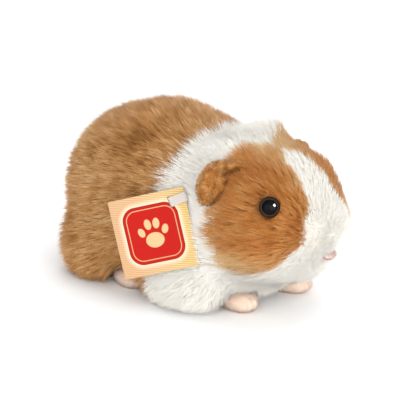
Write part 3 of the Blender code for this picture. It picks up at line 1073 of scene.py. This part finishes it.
def eyeProfiles():  # of the dome with its rim, and of the felt washer, as radius and height
    opened = np.radians(np.linspace(0, eye["open"], eye["steps"]))
    dome = [(eye["ball"] * math.sin(angle), eye["ball"] * math.cos(angle)) for angle in opened]
    edge = dome[-1][1]
    dome += [(eye["rim"] + across, edge + up) for across, up in eye["lip"]] + [(0, edge - eye["back"])]
    middle, thick = edge - eye["feltSunk"], eye["feltThick"]
    washer = []
    for angle in np.linspace(0, 2 * math.pi, eye["feltSteps"] + 1):
        height = middle + eye["feltSquash"] * thick * math.sin(angle)
        washer.append((eye["felt"] + thick * math.cos(angle), height))
    return dome, washer


def makeEyes():
    gloss, felt = glassMaterial(), feltMaterial()
    dome, washer = eyeProfiles()
    for word, side in sides.items():
        made = eyeFrame(side)
        ball = addObject("eye_" + word + "_dome", turnedMesh("eye", dome, made, eye["turns"]), gloss)
        ring = addObject("eye_" + word + "_felt", turnedMesh("felt", washer, made, eye["turns"]), felt)
        offset = readMesh(ball.data)[0] - made.translation
        # where the painted reflection's ring lies, near the rim
        wide = np.linalg.norm(np.cross(offset, made.col[2][:3]), axis=1)
        setAttribute(ball.data, "edge", (wide > eye["rimReflection"][0]) & (wide < eye["rimReflection"][1]))
        glossy.objects.link(ball)
        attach(ball, "root")
        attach(ring, "root")
        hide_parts("eye_" + word)


makeEyes()
print("eyes")


# hang tag: printed card and satin ribbon, on the solids themselves

tagPrint = {
    "paper": ((0.0, "#cbab82"), (0.35, "#cfb186"), (0.7, "#d6c08a"), (1.0, "#d8c47a")),
    "ruleColour": "#b87a58", "ruleSlant": 0.25, "ruleTurn": 4.8, "ruleShare": 0.33,
    "panel": 33, "panelCorner": 8, "panelColour": "#b01208", "edge": 0.5, "edgeColour": "#8a1712",
    "glow": (3.0, -0.5), "glowColour": "#dfd3ba", "line": 0.5, "lineInset": 2.2, "lineColour": "#cda276",
    # a paw print: the centre, radii and lean of its pad and toes
    "paw": (
        ((0, -3.6), (5.4, 4.3), 0), ((-7.0, 1.6), (1.9, 2.7), 22), ((-2.5, 5.6), (2.0, 3.0), 7),
        ((2.5, 5.6), (2.0, 3.0), -7), ((7.0, 1.6), (1.9, 2.7), -22),
    ),
    "pawColour": "#cfae80", "front": 0.3, "fibreColours": ("#efe4cf", "#f8f0df"),
}
ribbonWeave = {"weft": 30.0, "warp": 26.0, "colours": ("#b5ada6", "#cbc3bb")}


def cardReach(tree, place, axis):  # how far a point lies along an axis from the card's middle
    centre = Vector(tag["centre"])
    offset = centre.dot(axis) / perMetre
    reach = addNode(tree, "VectorMath", {0: place, 1: tuple(axis)}, operation="DOT_PRODUCT").outputs["Value"]
    return maths(tree, "MULTIPLY", maths(tree, "SUBTRACT", reach, offset), perMetre)


def filled(tree, distance, edge=0.12):  # 1 inside a printed shape, with a soft edge
    return addNode(tree, "MapRange", {"Value": distance, "From Min": edge, "From Max": -edge}).outputs[0]


def squareSum(tree, a, b):
    return maths(tree, "ADD", maths(tree, "MULTIPLY", a, a), maths(tree, "MULTIPLY", b, b))


def roundedBox(tree, u, v, half, corner):
    over = []
    for value in (u, v):
        beyond = maths(tree, "SUBTRACT", maths(tree, "ABSOLUTE", value), half - corner)
        over.append(maths(tree, "MAXIMUM", beyond, 0.0))
    return maths(tree, "SUBTRACT", maths(tree, "SQRT", squareSum(tree, *over)), corner)


def oval(tree, u, v, centre, radii, lean):
    c, s = math.cos(math.radians(lean)), math.sin(math.radians(lean))
    x = maths(tree, "SUBTRACT", u, centre[0])
    y = maths(tree, "SUBTRACT", v, centre[1])
    shares = []
    for radius, (fromX, fromY) in zip(radii, ((c, s), (-s, c))):
        part = maths(tree, "MULTIPLY", x, fromX / radius)
        shares.append(maths(tree, "ADD", part, maths(tree, "MULTIPLY", y, fromY / radius)))
    reach = maths(tree, "SQRT", squareSum(tree, *shares))
    return maths(tree, "MULTIPLY", maths(tree, "SUBTRACT", reach, 1.0), min(radii))


def ruledPaper(tree, u, v):
    half = tag["side"] / 2
    sideShare = addNode(tree, "MapRange", {"Value": u, "From Min": -half, "From Max": half}).outputs[0]
    slant = maths(tree, "ADD", v, maths(tree, "MULTIPLY", u, tagPrint["ruleSlant"]))
    rule = maths(tree, "SINE", maths(tree, "MULTIPLY", slant, tagPrint["ruleTurn"]))
    rule = maths(tree, "MULTIPLY_ADD", rule, tagPrint["ruleShare"], tagPrint["ruleShare"])
    return mix(tree, rule, ramp(tree, sideShare, *tagPrint["paper"]), colour(tagPrint["ruleColour"]))


def cardMaterial():
    finish, tree, shader = newMaterial("printed card", Roughness=0.5, Specular_IOR_Level=0.15)
    place = addNode(tree, "TexCoord").outputs["Object"]
    u, v, w = (cardReach(tree, place, axis) for axis in tagAxes())
    panel = roundedBox(tree, u, v, tagPrint["panel"] / 2, tagPrint["panelCorner"])
    start, end = tagPrint["glow"]
    glow = addNode(tree, "MapRange", {"Value": panel, "From Min": start, "From Max": end}).outputs[0]
    printed = mix(tree, glow, ruledPaper(tree, u, v), colour(tagPrint["glowColour"]))
    line = maths(tree, "ABSOLUTE", maths(tree, "ADD", panel, tagPrint["lineInset"]))
    paw = [oval(tree, u, v, *pad) for pad in tagPrint["paw"]]
    while len(paw) > 1:
        paw.append(maths(tree, "MINIMUM", paw.pop(0), paw.pop(0)))
    layers = (
        (panel, "edgeColour"), (maths(tree, "ADD", panel, tagPrint["edge"]), "panelColour"),
        (maths(tree, "SUBTRACT", line, tagPrint["line"] / 2), "lineColour"), (paw[0], "pawColour"),
    )
    for distance, key in layers:
        printed = mix(tree, filled(tree, distance), printed, colour(tagPrint[key]))
    front = maths(tree, "GREATER_THAN", w, tagPrint["front"])
    fibre = ramp(tree, noise(tree, 900.0), *zip((0.3, 0.7), tagPrint["fibreColours"]))
    tree.links.new(mix(tree, front, fibre, printed), shader.inputs["Base Color"])
    bump(tree, shader, noise(tree, 700.0, 4.0), 0.02, 0.4)
    return finish


def ribbonMaterial():
    finish, tree, shader = newMaterial("satin", Roughness=0.34, Specular_IOR_Level=0.5, Sheen_Weight=0.2)
    place = addNode(tree, "TexCoord").outputs["Object"]
    across, up, out = tagAxes()
    spin = Matrix.Rotation(math.radians(tag["ribbonTurn"]), 3, out)
    lengthways, sideways = (cardReach(tree, place, spin @ axis) for axis in (across, up))
    weft = maths(tree, "SINE", maths(tree, "MULTIPLY", lengthways, ribbonWeave["weft"]))
    warp = maths(tree, "SINE", maths(tree, "MULTIPLY", sideways, ribbonWeave["warp"]))
    weave = maths(tree, "MULTIPLY_ADD", maths(tree, "MULTIPLY", weft, warp), 0.5, 0.5)
    tree.links.new(ramp(tree, weave, *enumerate(ribbonWeave["colours"])), shader.inputs["Base Color"])
    bump(tree, shader, weave, 0.05, 0.6)
    return finish


for name, finish in (("tag_card", cardMaterial()), ("tag_ribbon", ribbonMaterial())):
    for holder in nodes[name].material_slots:
        holder.material = finish
    if not nodes[name].material_slots:
        nodes[name].data.materials.append(finish)
print("tag")


# nose: a small sewn pad

nose = {
    "centre": (91.6, 0, 40.2), "radii": (3.0, 4.7, 2.2), "pitch": 38, "subdivisions": 4, "shrink": 0.97,
    "taper": 0.35, "taperReach": (-0.2, 1.0), "nostril": (3.2, 2.3, -0.2), "nostrilReach": 1.1,
    "nostrilDepth": 1.0, "cleftWidth": 0.5, "cleftDepth": 0.7, "cleftReach": (0.0, 2.0),
    "pile": {"density": 8, "length": 1.3, "width": 0.22, "lift": (64, 34)}, "lay": (-0.3, 0, 1),
    "tints": ("#dcb0a6", "#e8c4bb", "#efd2c9", "#f7e2db"), "rootShade": 0.85,
    "skinTone": 0.5, "skinAlong": 1.0,
}


def shapeNose():
    made = Matrix.Translation(Vector(nose["centre"])) @ Matrix.Rotation(math.radians(nose["pitch"]), 4, "Y")
    bm = bmesh.new()
    bmesh.ops.create_icosphere(bm, subdivisions=nose["subdivisions"], radius=1)
    points = np.array([vert.co for vert in bm.verts])
    taper = 1 - nose["taper"] * ease(-points[:, 2], *nose["taperReach"])
    even = np.full(len(points), nose["shrink"])
    points = points * np.array(nose["radii"]) * np.column_stack([even, taper, even])
    for side in sides.values():
        away = np.linalg.norm(points - np.array(nose["nostril"]) * (1, side, 1), axis=1)
        points[:, 0] -= nose["nostrilDepth"] * np.exp(-(away / nose["nostrilReach"]) ** 2)
    cleft = np.exp(-(points[:, 1] / nose["cleftWidth"]) ** 2) * ease(-points[:, 2], *nose["cleftReach"])
    points[:, 0] -= nose["cleftDepth"] * cleft * (points[:, 0] > 0)
    for vert, point in zip(bm.verts, throughFrame(made, points)):
        vert.co = point / perMetre
    mesh = bpy.data.meshes.new("nose")
    bm.to_mesh(mesh)
    mesh.shade_smooth()
    return mesh


def makeNose():
    finish = velourMaterial("nose velour", nose["tints"], nose["rootShade"])
    pad = addObject("nose_pad", shapeNose(), finish)
    flatTones(pad, nose["skinTone"], nose["skinAlong"])
    fuzz = pile("nose_pile", pad, finish, lay=nose["lay"], **nose["pile"])
    for piece in (pad, fuzz):
        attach(piece, "root")
    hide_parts("nose")


makeNose()
print("nose")
